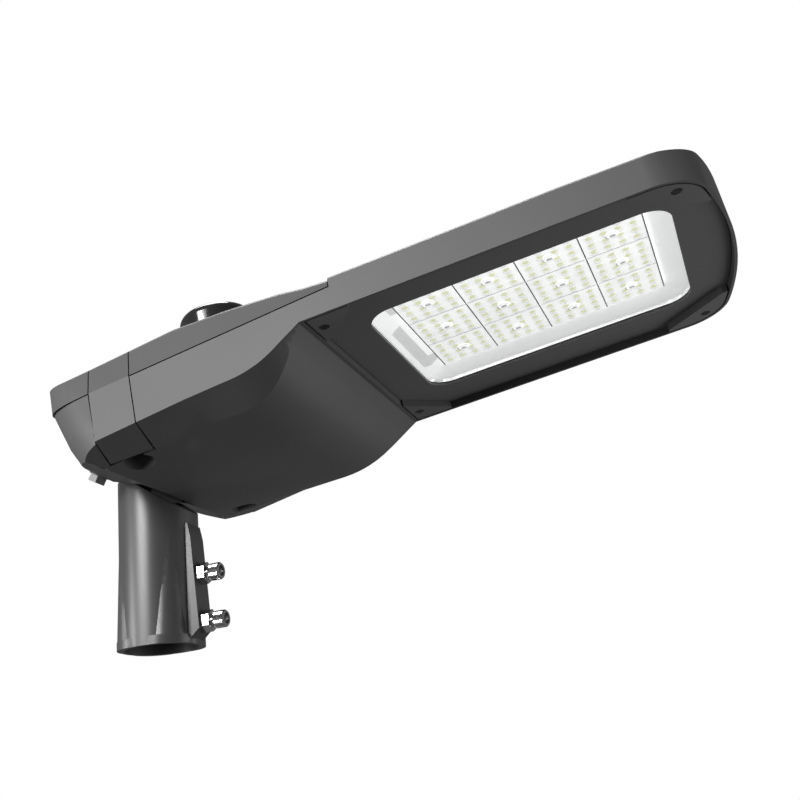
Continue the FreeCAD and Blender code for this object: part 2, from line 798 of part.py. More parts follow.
def strap_form(name, side, room):
    """A latch strap with the eye at its foot, or with room the way it needs to swing out."""
    start, stop = "sizes.strap_start - 16", "sizes.strap_start + sizes.strap_width + 4"
    band = body(f"{name}_band")
    faces = []
    for x in (start, along(27), stop):
        face = sketch(band, f"{name}_{len(faces)}", "YZ_Plane", x)
        faces.append(strap_section(face, side, x, room))
    loft(band, f"{name}_loft", faces, True)
    radius = f"sizes.strap_eye + {'sizes.fit' if room else 0}"
    pieces = [band, rod(f"{name}_eye", (start, f"{side} * {EYE_PLACE}", EYE_LEVEL), radius,
                        f"({stop}) - ({start})", "x")]
    if room:
        pieces.append(side_block(f"{name}_foot", side, (start, stop), f"{EYE_PLACE} - ({radius})", EYE_PLACE,
                                 ("-60", EYE_LEVEL)))
    limit = strap_limit(f"{name}_limit", side, "sizes.strap_gap" if room else "0")
    return joined("Common", f"{name}_form", [joined("Fuse", f"{name}_whole", pieces), limit])


PIN_START = "(sizes.strap_start - 14)"
PIN_LENGTH = "(sizes.strap_width + 12)"


def latch(node, side):
    """A strap that swings on a pin in the housing and hooks over a ledge of the cover."""
    hole = rod(f"{node}_hole", (f"{PIN_START} - 5", f"{side} * {EYE_PLACE}", EYE_LEVEL),
               "sizes.latch_pin / 2 + 0.15", f"{PIN_LENGTH} + 10", "x")
    return keep_on_head(node, cut(f"{node}_cut", strap_form(f"{node}_strap", side, False), hole))


def latch_pins():
    pins = [rod(f"latch_pin_{name}", (PIN_START, f"{side} * {EYE_PLACE}", EYE_LEVEL), "sizes.latch_pin / 2",
                PIN_LENGTH, "x") for name, side in (("near", -1), ("far", 1))]
    return keep_on_head("latch_pins", group("latch_pin_group", pins))


def cavity(keepers):
    """The gear compartment, open at the top under the cover."""
    inner_sections = [row for row in GEAR_SECTIONS if row[0] < DRAWN_DECK - 20]
    form = gear_form("gear_inner", inner_sections, "sizes.wall", "sizes.wall + 0.4", "6")
    lower = joined("Common", "gear_lower", [form, head_limits("inner", "sizes.wall")])
    margin = "sizes.cover_rim"
    mouth = block("mouth_rear", ("-60", f"-sizes.half_width + {margin}", "12"),
                  ("sizes.deck_start - 20", f"sizes.half_width - {margin}", "150"))
    front = block("mouth_front", ("sizes.deck_start - 30", f"-sizes.half_width + {margin}",
                                  "sizes.rim_level + 16"),
                  ("sizes.cover_front - 9", f"sizes.half_width - {margin}", "150"))
    opening = joined("Common", "mouth", [joined("Fuse", "mouth_blocks", [mouth, front]),
                                         plan_prism("mouth_outline", "0", "160", margin)])
    whole = joined("Fuse", "compartment", [lower, opening])
    return cut("compartment_clear", whole, joined("Fuse", "compartment_keep", keepers))


def glass_outline(made, margin):
    """The window's outline, made larger by margin."""
    centre = ("sizes.window_start + sizes.window_length / 2", "0")
    half = (f"sizes.window_length / 2 + ({margin})", f"sizes.window_width / 2 + ({margin})")
    return rounded(made, centre, half, f"(sizes.window_corner + ({margin}) / 2)")


SEAT = "(sizes.frame_level + sizes.frame_thick)"
GLASS_TOP = f"({SEAT} + sizes.gasket_thick + sizes.glass_thick)"
BOARD_LEVEL = "(sizes.lens_level + sizes.lens_thick)"
POCKET_TOP = f"({BOARD_LEVEL} + sizes.board_thick)"


def lamp_pockets():
    """The seat of the window frame and the pocket for the lamps above it."""
    limit = plan_prism("seat_outline", "0", SEAT, "sizes.rim_width")
    slab = block("seat_slab", ("sizes.deck_start + 3", "-sizes.half_width", "0"),
                 ("sizes.nose", "sizes.half_width", SEAT))
    part = body("lamp_pocket")
    glass = glass_outline(sketch(part, "lamp_plan", "XY_Plane", f"{SEAT} - 1"), "sizes.glass_lap + 0.5")
    pad(part, "lamp_space", glass, f"{POCKET_TOP} - ({SEAT} - 1)")
    return joined("Fuse", "lamp_recess", [joined("Common", "frame_seat", [limit, slab]), part])


def fin_slots():
    """Slots between the cooling fins, sunk in the crown."""
    slots = []
    count = 11
    for number in range(count):
        middle = f"({number} - {(count - 1) / 2}) * sizes.fin_pitch"
        slots.append(block(f"fin_slot_{number + 1}",
                           ("sizes.fin_start", f"{middle} - sizes.fin_slot / 2", "sizes.rim_level + 20"),
                           ("sizes.fin_start + sizes.fin_length", f"{middle} + sizes.fin_slot / 2", "120")))
    return cut("fin_space", joined("Fuse", "fin_blocks", slots), crown_form("fin_floor", "sizes.fin_depth"))


HINGE_AXIS = "(sizes.cover_front + sizes.seam_gap / 2)"


def hinge_lug(name, side, on_deck):
    """A lug for the hinge pin, on the deck or on the cover."""
    part = body(name)
    lean = 1 if on_deck else -1
    face = sketch(part, f"{name}_side", "XZ_Plane")
    outline(face, [
        (f"{HINGE_AXIS} - sizes.hinge_radius", "sizes.hinge_level"),
        (f"{HINGE_AXIS} + sizes.hinge_radius", "sizes.hinge_level"),
        (f"{HINGE_AXIS} + {lean} * 11 + 2", "sizes.crown_level - 6"),
        (f"{HINGE_AXIS} + {lean} * 11 - 2", "sizes.crown_level - 6"),
    ], {0: (HINGE_AXIS, "sizes.hinge_level + sizes.hinge_radius")})
    place = "sizes.hinge_place" if on_deck else "(sizes.hinge_place + sizes.hinge_width + 0.5)"
    pad(part, f"{name}_pad", face, "sizes.hinge_width").Midplane = True
    part.setExpression("Placement.Base.y", f"{side} * ({place} + sizes.hinge_width / 2)")
    return part


def hinge_bore(name, slack):
    return rod(name, (HINGE_AXIS, "-100", "sizes.hinge_level"), f"sizes.hinge_pin / 2 + {slack}", "200", "y")


REAR_BOLT_SPOT = ("(-sizes.tail + 13.5)", "-5.6")
REAR_BOLT_TURN = 37


def rear_rod(name, side, radius, start, length, flats=None):
    """A rod or, with flats, a six-sided prism on the axis of a rear bolt, from start along it."""
    made = doc.addObject("Part::Prism" if flats else "Part::Cylinder", name)
    if flats:
        made.Polygon = 6
        made.setExpression("Circumradius", f"({flats}) / sqrt(3)")
    else:
        made.setExpression("Radius", str(radius))
    made.setExpression("Height", str(length))
    made.Placement.Rotation = FreeCAD.Rotation(V(0, 1, 0), 180 + REAR_BOLT_TURN)
    run = (-math.sin(math.radians(REAR_BOLT_TURN)), -math.cos(math.radians(REAR_BOLT_TURN)))
    made.setExpression("Placement.Base.x", f"{REAR_BOLT_SPOT[0]} + ({start}) * {run[0]}")
    made.setExpression("Placement.Base.y", f"{side} * sizes.rear_bolt_place")
    made.setExpression("Placement.Base.z", f"{REAR_BOLT_SPOT[1]} + ({start}) * {run[1]}")
    return made


SIDES = (("near", -1), ("far", 1))


def rear_bolts():
    """Two hexagon bolts screwed into bosses under the tail."""
    bolts = []
    for name, side in SIDES:
        head = rear_rod(f"rear_head_{name}", side, None, "0", "6", "13")
        shank = rear_rod(f"rear_shank_{name}", side, "sizes.rear_bolt_thread / 2", "-9", "11")
        bolts.append(joined("Fuse", f"rear_bolt_{name}", [head, shank]))
    return keep_on_head("rear_bolts", group("rear_bolt_group", bolts))


def strap_keepers():
    """Solid metal behind the latch straps."""
    made = []
    ways = ("sizes.strap_start - 24", "sizes.strap_start + sizes.strap_width + 4")
    for name, side in SIDES:
        for level, inner, levels in (("low", "sizes.half_width - 60", ("-60", "-2")),
                                     ("high", "sizes.half_width - 9", ("-10", "60"))):
            made.append(side_block(f"strap_keeper_{name}_{level}", side, ways, inner,
                                   "sizes.half_width + 5", levels))
    return made


# The posts of the gear tray stand in the belly's wall, which rises towards the front.
TRAY_POSTS = [(along(x), f"{side} * (sizes.tray_half - 9)", foot)
              for x, foot in ((36, "-25.5"), (128, "-23.5")) for _, side in SIDES]


def housing():
    gear = gear_form("gear_outer", refined(GEAR_SECTIONS, SLOPE_START), "0", "0", "sizes.seam_gap")
    form = joined("Fuse", "cast_form", [gear] + deck_form())
    full = joined("Common", "cast_outer", [form, head_limits("head", "0")])
    walls, recess = recess_tools()
    bosses = [rear_rod(f"rear_boss_{name}", side, "9", "-11", "15") for name, side in SIDES]
    keepers = [walls, tail_scoop("scoop_keeper", "sizes.wall + 0.2")] + strap_keepers() + bosses
    spaces = [cavity(keepers), recess, tail_scoop("scoop"), lamp_pockets(), fin_slots()]
    for name, side in SIDES:
        spaces.append(strap_form(f"way_{name}", side, True))
        finger = ("sizes.finger_place", f"{side} * (sizes.half_width - sizes.finger_reach)", "-40")
        spaces.append(rod(f"finger_{name}", finger, "sizes.finger_radius", "sizes.finger_top + 40"))
        spaces.append(rod(f"drain_{name}", ("9", f"{side} * {across(96.5)}", "-40"), "3", "26"))
        spaces.append(rod(f"latch_pin_hole_{name}", (f"{PIN_START} - 0.5", f"{side} * {EYE_PLACE}", EYE_LEVEL),
                          "sizes.latch_pin / 2 + 0.02", f"{PIN_LENGTH} + 1", "x"))
    spaces.append(rod("wire_way", ("sizes.cover_front - 12", "0", BOARD_LEVEL), "4", "26", "x"))
    spaces.append(rod("gland_hole", ("-14", "0", "0"), "sizes.gland_thread / 2 + 0.05", "60"))
    hollow = cut_all("cast_hollow", full, spaces)
    added = [hinge_lug("deck_lug_far", 1, True), hinge_lug("deck_lug_near", -1, True)]
    for name, side in SIDES:
        start = "sizes.knuckle_width / 2 + sizes.fit" if side > 0 else "-sizes.recess_half - 1"
        added.append(rod(f"ear_{name}", ("0", start, "0"), "sizes.ear_radius",
                         "sizes.recess_half + 1 - sizes.knuckle_width / 2 - sizes.fit", "y"))
        added.append(rear_rod(f"rear_seat_{name}", side, "8.5", "-10.5", "10.5"))
    for number, (x, y, foot) in enumerate(TRAY_POSTS, 1):
        added.append(rod(f"tray_post_{number}", (x, y, foot), "5",
                         f"sizes.gear_level - sizes.tray_thick - ({foot})"))
    bores = [rear_rod(f"rear_hole_{name}", side, "sizes.rear_bolt_thread / 2 + 0.05", "-10", "13")
             for name, side in SIDES]
    bores.append(rod("pivot_way", ("0", "-60", "0"), "sizes.pivot_thread / 2 + 0.2", "120", "y"))
    bores.append(hinge_bore("deck_hinge_bore", "0.02"))
    for number, (x, y, _) in enumerate(TRAY_POSTS, 1):
        bores.append(rod(f"tray_screw_hole_{number}", (x, y, "sizes.gear_level - 6"), "2.05", "10"))
    for number, (x, y) in enumerate(CAP_SCREWS, 1):
        bores.append(rod(f"cap_screw_hole_{number}", (x, y, "sizes.cap_level"),
                         "sizes.cap_screw / 2 + 0.05", "15"))
    whole = cut("cast_solid", joined("Fuse", "cast_added", [hollow] + added),
                joined("Fuse", "cast_bores", bores))
    return keep_on_head("housing", whole)


def pivot_bolt():
    """The bolt that carries the head on the spigot, with its nut."""
    skin = "(sizes.recess_half + sizes.recess_skin)"
    shank = rod("pivot_shank", ("0", f"-{skin} - 2", "0"), "sizes.pivot_thread / 2", f"2 * {skin} + 14", "y")
    head = nut_prism("pivot_head", ("0", f"-{skin} - 6.4", "0"), "17", "6.4", "y")
    bolt = joined("Fuse", "pivot_bolt_solid", [shank, head])
    nut = nut_prism("pivot_nut_solid", ("0", skin, "0"), "17", "8", "y")
    hole = rod("pivot_nut_hole", ("0", "0", "0"), "sizes.pivot_thread / 2 + 0.05", "100", "y")
    keep_on_head("pivot_bolt", group("pivot_bolt_group", [bolt]))
    return keep_on_head("pivot_nut", cut("pivot_nut_cut", nut, hole))


def hinge_pins():
    pins = []
    length = "2 * sizes.hinge_width + 1.5"
    for name, side in SIDES:
        start = "sizes.hinge_place - 0.5" if side > 0 else f"-(sizes.hinge_place - 0.5 + {length})"
        pins.append(rod(f"hinge_pin_{name}", (HINGE_AXIS, start, "sizes.hinge_level"), "sizes.hinge_pin / 2",
                        length, "y"))
    return keep_on_head("hinge_pins", group("hinge_pin_group", pins))


def gear_cover():
    """The hinged cover with the boss for the sensor."""
    outer = joined("Common", "cover_outer", [cover_form("cover_skin", "0"),
                                             plan_prism("cover_outline", "0", "150", "0")])
    space = joined("Common", "cover_room", [
        cover_form("cover_space", "sizes.wall", "0"),
        plan_prism("cover_space_outline", "0", "150", "sizes.cover_rim"),
        block("cover_space_block", ("-60", "-200", "0"), ("sizes.cover_front - 5", "200", "150"))])
    ways = ("sizes.strap_start - 6", "sizes.strap_start + sizes.strap_width + 6")
    blocks = [side_block(f"cover_keeper_{name}", side, ways, "sizes.half_width - 14", "sizes.half_width + 5",
                         ("0", "70")) for name, side in SIDES]
    clear = cut("cover_clear", space, joined("Fuse", "cover_keepers", blocks))
    boss = rod("sensor_boss", ("sizes.sensor_place", "0", "sizes.socket_level - 14"), "sizes.socket_radius + 4",
               "14")
    shell = joined("Fuse", "cover_shell", [cut("cover_hollow", outer, clear), boss,
                                           hinge_lug("cover_lug_far", 1, False),
                                           hinge_lug("cover_lug_near", -1, False)])
    spaces = [strap_form(f"cover_way_{name}", side, True) for name, side in SIDES]
    spaces.append(rod("stem_hole", ("sizes.sensor_place", "0", "60"), "sizes.socket_stem + sizes.fit", "50"))
    spaces.append(hinge_bore("cover_hinge_bore", "0.15"))
    return keep_on_head("gear_cover", cut("cover_cut", shell, joined("Fuse", "cover_spaces", spaces)))


def arch_slab(name, under, over):
    """The gap between two levels that follow the seam's arch."""
    part = body(name)
    faces = []
    for x in ("-60", "sizes.cover_front"):
        face = sketch(part, f"{name}_{len(faces)}", "YZ_Plane", x)
        outline(face, [
            ("-sizes.half_width", f"{seam(x)} + ({over})"),
            ("-sizes.half_width", f"{seam(x)} + ({under})"),
            ("sizes.half_width", f"{seam(x)} + ({under})"),
            ("sizes.half_width", f"{seam(x)} + ({over})"),
        ], {1: ("0", f"{seam(x)} + ({under}) + sizes.seam_arch"),
            3: ("0", f"{seam(x)} + ({over}) + sizes.seam_arch")})
        faces.append(face)
    loft(part, f"{name}_loft", faces, True)
    return part


def cover_gasket():
    """The seal in the seam between housing and cover."""
    ring = cut("cover_gasket_ring",
               joined("Common", "cover_gasket_out", [
                   plan_prism("cover_gasket_plan", "0", "150", "sizes.cover_rim - 2.4"),
                   block("cover_gasket_end", ("-60", "-200", "0"), ("sizes.cover_front - 2", "200", "150"))]),
               joined("Common", "cover_gasket_in", [
                   plan_prism("cover_gasket_hole", "0", "150", "sizes.cover_rim - 0.2"),
                   block("cover_gasket_stop", ("-60", "-200", "-1"),
                         ("sizes.cover_front - 4.6", "200", "151"))]))
    slab = arch_slab("cover_gasket_slab", "-sizes.seam_gap + 0.05", "-0.05")
    made = joined("Common", "cover_gasket_band", [ring, slab])
    return keep_on_head("cover_gasket", made)


def window_frame():
    limit = plan_prism("frame_outline", "sizes.frame_level", SEAT, "sizes.rim_width + sizes.frame_gap")
    slab = block("frame_slab", ("sizes.deck_start + 3 + sizes.frame_gap", "-sizes.half_width", "0"),
                 ("sizes.nose", "sizes.half_width", "60"))
    hole = body("frame_hole")
    pad(hole, "frame_opening", glass_outline(sketch(hole, "frame_plan", "XY_Plane", "0"), "0"), "60")
    plate = cut("frame_plate", joined("Common", "frame_blank", [limit, slab]), hole)
    holes = [rod(f"frame_screw_hole_{number}", (x, y, "0"), "sizes.cap_screw / 2 + 0.15", "60")
             for number, (x, y) in enumerate(CAP_SCREWS, 1)]
    return keep_on_head("window_frame", cut("frame_cut", plate, joined("Fuse", "frame_screw_holes", holes)))


def ring_on_window(node, level, height, outer, inner):
    """A plate on the window's outline with a hole of the same outline."""
    part = body(f"{node}_body")
    pad(part, f"{node}_plate", glass_outline(sketch(part, f"{node}_plan", "XY_Plane", level), outer), height)
    if inner is not None:
        hole = glass_outline(sketch(part, f"{node}_hole", "XY_Plane", level), inner)
        pocket(part, f"{node}_pocket", hole)
    return part


def window_seal():
    keep_on_head("window_gasket", ring_on_window("window_gasket", SEAT, "sizes.gasket_thick",
                                                 "sizes.glass_lap", "0.2"))
    keep_on_head("window_glass", ring_on_window("window_glass", f"{SEAT} + sizes.gasket_thick",
                                                "sizes.glass_thick", "sizes.glass_lap", None))


LENS_COLUMNS = 4
LENS_ROWS = 3
ARRAY_LENGTH = f"({LENS_COLUMNS - 1} * sizes.lens_pitch + sizes.lens_side)"
ARRAY_WIDTH = f"({LENS_ROWS - 1} * sizes.lens_pitch + sizes.lens_side)"
ARRAY_MIDDLE = f"(sizes.lens_start + {ARRAY_LENGTH} / 2)"


def funnel(name, grow):
    """A funnel from the window's outline to the lamps, made wider by grow."""
    part = body(name)
    low = glass_outline(sketch(part, f"{name}_low", "XY_Plane", GLASS_TOP), f"0.5 + ({grow})")
    high = rounded(sketch(part, f"{name}_high", "XY_Plane", f"{BOARD_LEVEL} - 0.4"), (ARRAY_MIDDLE, "0"),
                   (f"{ARRAY_LENGTH} / 2 + 1.5 + ({grow})", f"{ARRAY_WIDTH} / 2 + 1.5 + ({grow})"),
                   f"(3 + ({grow}))")
    loft(part, f"{name}_loft", [low, high], True)
    return part


def reflector():
    """The white sheet between the glass and the lamps."""
    flange = ring_on_window("reflector_flange", GLASS_TOP, "sizes.reflector_skin", "sizes.glass_lap", None)
    sheet_form = joined("Fuse", "reflector_form", [flange, funnel("reflector_outside", "sizes.reflector_skin")])
    return keep_on_head("reflector", cut("reflector_cut", sheet_form, funnel("reflector_inside", "0")))


def led_board():
    low = (f"{ARRAY_MIDDLE} - {ARRAY_LENGTH} / 2 - sizes.board_margin",
           f"-{ARRAY_WIDTH} / 2 - sizes.board_margin", BOARD_LEVEL)
    high = (f"{ARRAY_MIDDLE} + {ARRAY_LENGTH} / 2 + sizes.board_margin",
            f"{ARRAY_WIDTH} / 2 + sizes.board_margin", POCKET_TOP)
    keep_on_head("led_board", group("led_board_group", [block("led_board_plate", low, high)]))


def lenses():
    """Twelve square lens modules, each with one screw in its middle."""
    screws = []
    number = 0
    for row in range(LENS_ROWS):
        for column in range(LENS_COLUMNS):
            number += 1
            x = f"(sizes.lens_start + {column} * sizes.lens_pitch + sizes.lens_side / 2)"
            y = f"(({row} - {(LENS_ROWS - 1) / 2}) * sizes.lens_pitch)"
            part = body(f"lens_body_{number}")
            plan = rounded(sketch(part, f"lens_plan_{number}", "XY_Plane", "sizes.lens_level"), (x, y),
                           ("sizes.lens_side / 2", "sizes.lens_side / 2"), "2.5")
            pad(part, f"lens_plate_{number}", plan, "sizes.lens_thick")
            middle = circle(sketch(part, f"lens_middle_{number}", "XY_Plane", "sizes.lens_level"), (x, y),
                            "1.65")
            pocket(part, f"lens_hole_{number}", middle)
            keep_on_head(f"lens_{number:02d}", part)
            head = rod(f"lens_screw_head_{number}", (x, y, "sizes.lens_level - 1.6"), "3", "1.6")
            shank = rod(f"lens_screw_shank_{number}", (x, y, "sizes.lens_level - 1"), "1.5",
                        "sizes.lens_thick + 1")
            screws.append(joined("Fuse", f"lens_screw_{number}", [head, shank]))
    return keep_on_head("lens_screws", group("lens_screw_group", screws))


CAP_SCREWS = [(f"({x} / 524 * sizes.nose)", f"{side} * {across(y)}") for x, y in ((489.1, 115.5), (218.7, 112))
              for _, side in SIDES]
CAP_CORNERS = {
    "corner_cap_front": ((455.5, 126), (507, 85), (545, 85), (545, 150), (455.5, 150)),
    "corner_cap_rear": ((211.6, 150), (211.6, 86.5), (245.4, 126), (245.4, 150)),
}


def corner_caps():
    """Four caps over the corners of the window frame."""
    for base, spots in CAP_CORNERS.items():
        for name, side in SIDES:
            node = f"{base}_{name}"
            part = body(f"{node}_body")
            plan = outline(sketch(part, f"{node}_plan", "XY_Plane", "sizes.cap_level"),
                           [(f"({x} / 524 * sizes.nose)", f"{side} * {across(y)}") for x, y in spots])
            pad(part, f"{node}_plate", plan, "sizes.frame_level - sizes.cap_level")
            limit = plan_prism(f"{node}_limit", "0", "60", "sizes.rim_width + sizes.cap_gap")
            holes = []
            for number, (x, y) in enumerate(CAP_SCREWS, 1):
                holes.append(rod(f"{node}_hole_{number}", (x, y, "0"), "sizes.cap_screw / 2 + 0.15", "40"))
                holes.append(rod(f"{node}_sink_{number}", (x, y, "0"), "sizes.cap_screw + 0.2",
                                 "sizes.cap_level + 2.6"))
            keep_on_head(node, cut(f"{node}_cut", joined("Common", f"{node}_blank", [part, limit]),
                                   joined("Fuse", f"{node}_holes", holes)))


def cap_screws():
    screws = []
    for number, (x, y) in enumerate(CAP_SCREWS, 1):
        head = rod(f"cap_screw_head_{number}", (x, y, "sizes.cap_level + 0.2"), "sizes.cap_screw - 0.2", "2.4")
        shank = rod(f"cap_screw_shank_{number}", (x, y, "sizes.cap_level + 1"), "sizes.cap_screw / 2", "13")
        screws.append(joined("Fuse", f"cap_screw_{number}", [head, shank]))
    return keep_on_head("cap_screws", group("cap_screw_group", screws))


def sensor():
    """The sensor's socket in the cover's boss, its base plate and its cap."""
    place = ("sizes.sensor_place", "0")
    top = "(sizes.socket_level + sizes.socket_height)"
    ring = rod("socket_ring", place + ("sizes.socket_level",), "sizes.socket_radius", "sizes.socket_height")
    stem = rod("socket_stem", place + ("sizes.socket_level - 16",), "sizes.socket_stem", "17")
    hollow = rod("socket_hollow", place + ("sizes.socket_level - 20",), "sizes.socket_stem - 3", "24")
    keep_on_head("sensor_socket", cut("socket_cut", joined("Fuse", "socket_solid", [ring, stem]), hollow))
    seal = rod("sensor_seal", place + (top,), "sizes.socket_radius - 0.5", "1.5")
    hole = rod("sensor_seal_hole", place + (top,), "sizes.socket_radius - 6", "1.5")
    keep_on_head("sensor_gasket", cut("sensor_seal_cut", seal, hole))
    plate = rod("sensor_base_plate", place + (f"{top} + 1.5",),
                "sizes.sensor_radius - sizes.sensor_wall - sizes.fit", "5")
    keep_on_head("sensor_base", group("sensor_base_group", [plate]))
    part = body("sensor_cap_body")
    side = sketch(part, "sensor_cap_side", "XZ_Plane")
    radius = "sizes.sensor_radius"
    inner = f"({radius} - sizes.sensor_wall)"
    start = f"({top} + 1.5)"
    near = 1 - math.sqrt(0.5)
    bend = "7.5"
    outline(side, [
        (inner, start),
        (radius, start),
        (radius, "sizes.sensor_shoulder"),
        (f"{radius} - {bend}", "sizes.sensor_top - 1.6"),
        ("0", "sizes.sensor_top"),
        ("0", "sizes.sensor_top - sizes.sensor_wall"),
        (f"{radius} - {bend} - 0.8", "sizes.sensor_top - 1.6 - sizes.sensor_wall"),
        (inner, "sizes.sensor_shoulder - 1"),
    ], {2: (f"{radius} - {near} * {bend}",
            f"sizes.sensor_shoulder + {math.sqrt(0.5)} * (sizes.sensor_top - 1.6 - sizes.sensor_shoulder)")})
    turned(part, "sensor_cap_turned", side)
    part.setExpression("Placement.Base.x", "sizes.sensor_place")
    return keep_on_head("sensor_cap", group("sensor_cap_group", [part]))


def gear():
    """What sits on the tray in the compartment, and the gland for the cable from the pole."""
    level = "sizes.gear_level"
    tray = block("tray_plate", ("sizes.tray_start", "-sizes.tray_half", f"{level} - sizes.tray_thick"),
                 ("sizes.tray_start + sizes.tray_length", "sizes.tray_half", level))
    holes = [rod(f"tray_hole_{number}", (x, y, "-30"), "2.3", "40")
             for number, (x, y, _) in enumerate(TRAY_POSTS, 1)]
    keep_on_head("gear_tray", cut("tray_cut", tray, joined("Fuse", "tray_holes", holes)))
    screws = []
    for number, (x, y, _) in enumerate(TRAY_POSTS, 1):
        head = rod(f"tray_screw_head_{number}", (x, y, level), "3.5", "2.6")
        shank = rod(f"tray_screw_shank_{number}", (x, y, f"{level} - 5.5"), "2", "6")
        screws.append(joined("Fuse", f"tray_screw_{number}", [head, shank]))
    keep_on_head("tray_screws", group("tray_screw_group", screws))
    keep_on_head("led_driver", gear_box("led_driver", "sizes.driver_place", "0", "sizes.driver_width",
                                        "sizes.driver_length * 0.8", "sizes.driver_height"))
    keep_on_head("surge_protector", gear_box("surge_protector", "sizes.tray_start + 3", "35",
                                             "sizes.surge_width", "sizes.surge_length * 0.8",
                                             "sizes.surge_height"))
    keep_on_head("terminal_block", gear_box("terminal_block", "sizes.tray_start + 5", "-38",
                                            "sizes.block_width", "sizes.block_length", "sizes.block_height"))
    collar = nut_prism("gland_collar", ("-14", "0", "sizes.recess_top + sizes.recess_skin"), "24", "6")
    stem = rod("gland_stem", ("-14", "0", "sizes.recess_top - 4"), "sizes.gland_thread / 2", "12")
    dome = rod("gland_dome", ("-14", "0", "sizes.recess_top + sizes.recess_skin + 6"), "10.5", "7")
    bore = rod("gland_bore", ("-14", "0", "0"), "4.5", "60")
    keep_on_head("cable_gland", cut("gland_cut", joined("Fuse", "gland_solid", [collar, stem, dome]), bore))


def gear_box(name, x, y, length, width, height):
    """A box on the tray with its start in x and its middle in y, with rounded upright edges."""
    part = body(f"{name}_body")
    plan = rounded(sketch(part, f"{name}_plan", "XY_Plane", "sizes.gear_level"), (f"({x} + {length} / 2)", y),
                   (f"{length} / 2", f"{width} / 2"), "3")
    pad(part, f"{name}_block", plan, height)
    return part


def check_document():
    """Stops if an object failed or a sub-part has no sound shape."""
    for item in doc.Objects:
        if "Invalid" in item.State or "Error" in item.State:
            raise RuntimeError(f"{item.Name} failed: {item.State}")
    for node, item in NODES.items():
        if item.Shape.isNull() or not item.Shape.isValid():
            raise RuntimeError(f"{node} has no sound shape")


def write_parts():
    os.makedirs("parts", exist_ok=True)
    for node, item in NODES.items():
        item.Shape.exportStep(f"parts/{node}.step")
        print(node, len(item.Shape.Solids), round(item.Shape.Volume / 1000, 1), "cm3")


spigot()
set_screws()
housing()
pivot_bolt()
rear_bolts()
hinge_pins()
gear_cover()
cover_gasket()
latch("latch_near", -1)
latch("latch_far", 1)
latch_pins()
window_frame()
window_seal()
reflector()
led_board()
lenses()
corner_caps()
cap_screws()
sensor()
gear()
doc.recompute()
check_document()
write_parts()
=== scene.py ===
import math

import bmesh
import bpy
from mathutils import Matrix, Vector


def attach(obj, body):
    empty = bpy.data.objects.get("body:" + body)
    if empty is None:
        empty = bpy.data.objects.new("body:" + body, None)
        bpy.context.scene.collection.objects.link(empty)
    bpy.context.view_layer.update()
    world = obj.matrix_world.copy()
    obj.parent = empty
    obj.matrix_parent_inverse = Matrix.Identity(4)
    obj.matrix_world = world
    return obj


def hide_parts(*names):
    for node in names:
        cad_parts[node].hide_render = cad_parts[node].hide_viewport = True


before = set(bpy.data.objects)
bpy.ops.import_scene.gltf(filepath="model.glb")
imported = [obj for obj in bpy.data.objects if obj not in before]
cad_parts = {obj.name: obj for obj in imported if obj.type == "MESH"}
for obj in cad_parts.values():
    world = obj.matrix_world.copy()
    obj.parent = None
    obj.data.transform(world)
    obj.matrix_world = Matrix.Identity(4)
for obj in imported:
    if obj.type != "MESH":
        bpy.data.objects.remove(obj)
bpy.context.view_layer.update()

# The head was drawn in a frame of its own, in millimetres, with its origin on the tilt pivot.
MM = 0.001
TILT = math.radians(7.5)
PIVOT = Vector((-2.3, 0, 152)) * MM
HEAD = Matrix.Translation(PIVOT) @ Matrix.Rotation(-TILT, 4, "Y")

# the lens modules: four columns along the head and three rows across it
LENS_COLUMNS = 4
LENS_ROWS = 3
LENS_PITCH = 50.5
LENS_START = 261.6
LENS_LEVEL = 38.4
LENS_HALF = 25
LENS_THICK = 4
GLASS_TOP = 31


# materials

def ramp(nodes, stops):
    """A colour ramp with stops of (position, grey or colour)."""
    made = nodes.new("ShaderNodeValToRGB")
    elements = made.color_ramp.elements
    while len(elements) < len(stops):
        elements.new(0.5)
    for element, (position, colour) in zip(elements, stops):
        element.position = position
        if not isinstance(colour, (tuple, list)):
            colour = (colour, colour, colour)
        element.color = (*colour, 1)
    return made


def noise(nodes, links, place, scale, detail=3):
    """A noise texture in the piece's own space."""
    made = nodes.new("ShaderNodeTexNoise")
    made.inputs["Scale"].default_value = scale
    made.inputs["Detail"].default_value = detail
    links.new(place.outputs["Object"], made.inputs["Vector"])
    return made


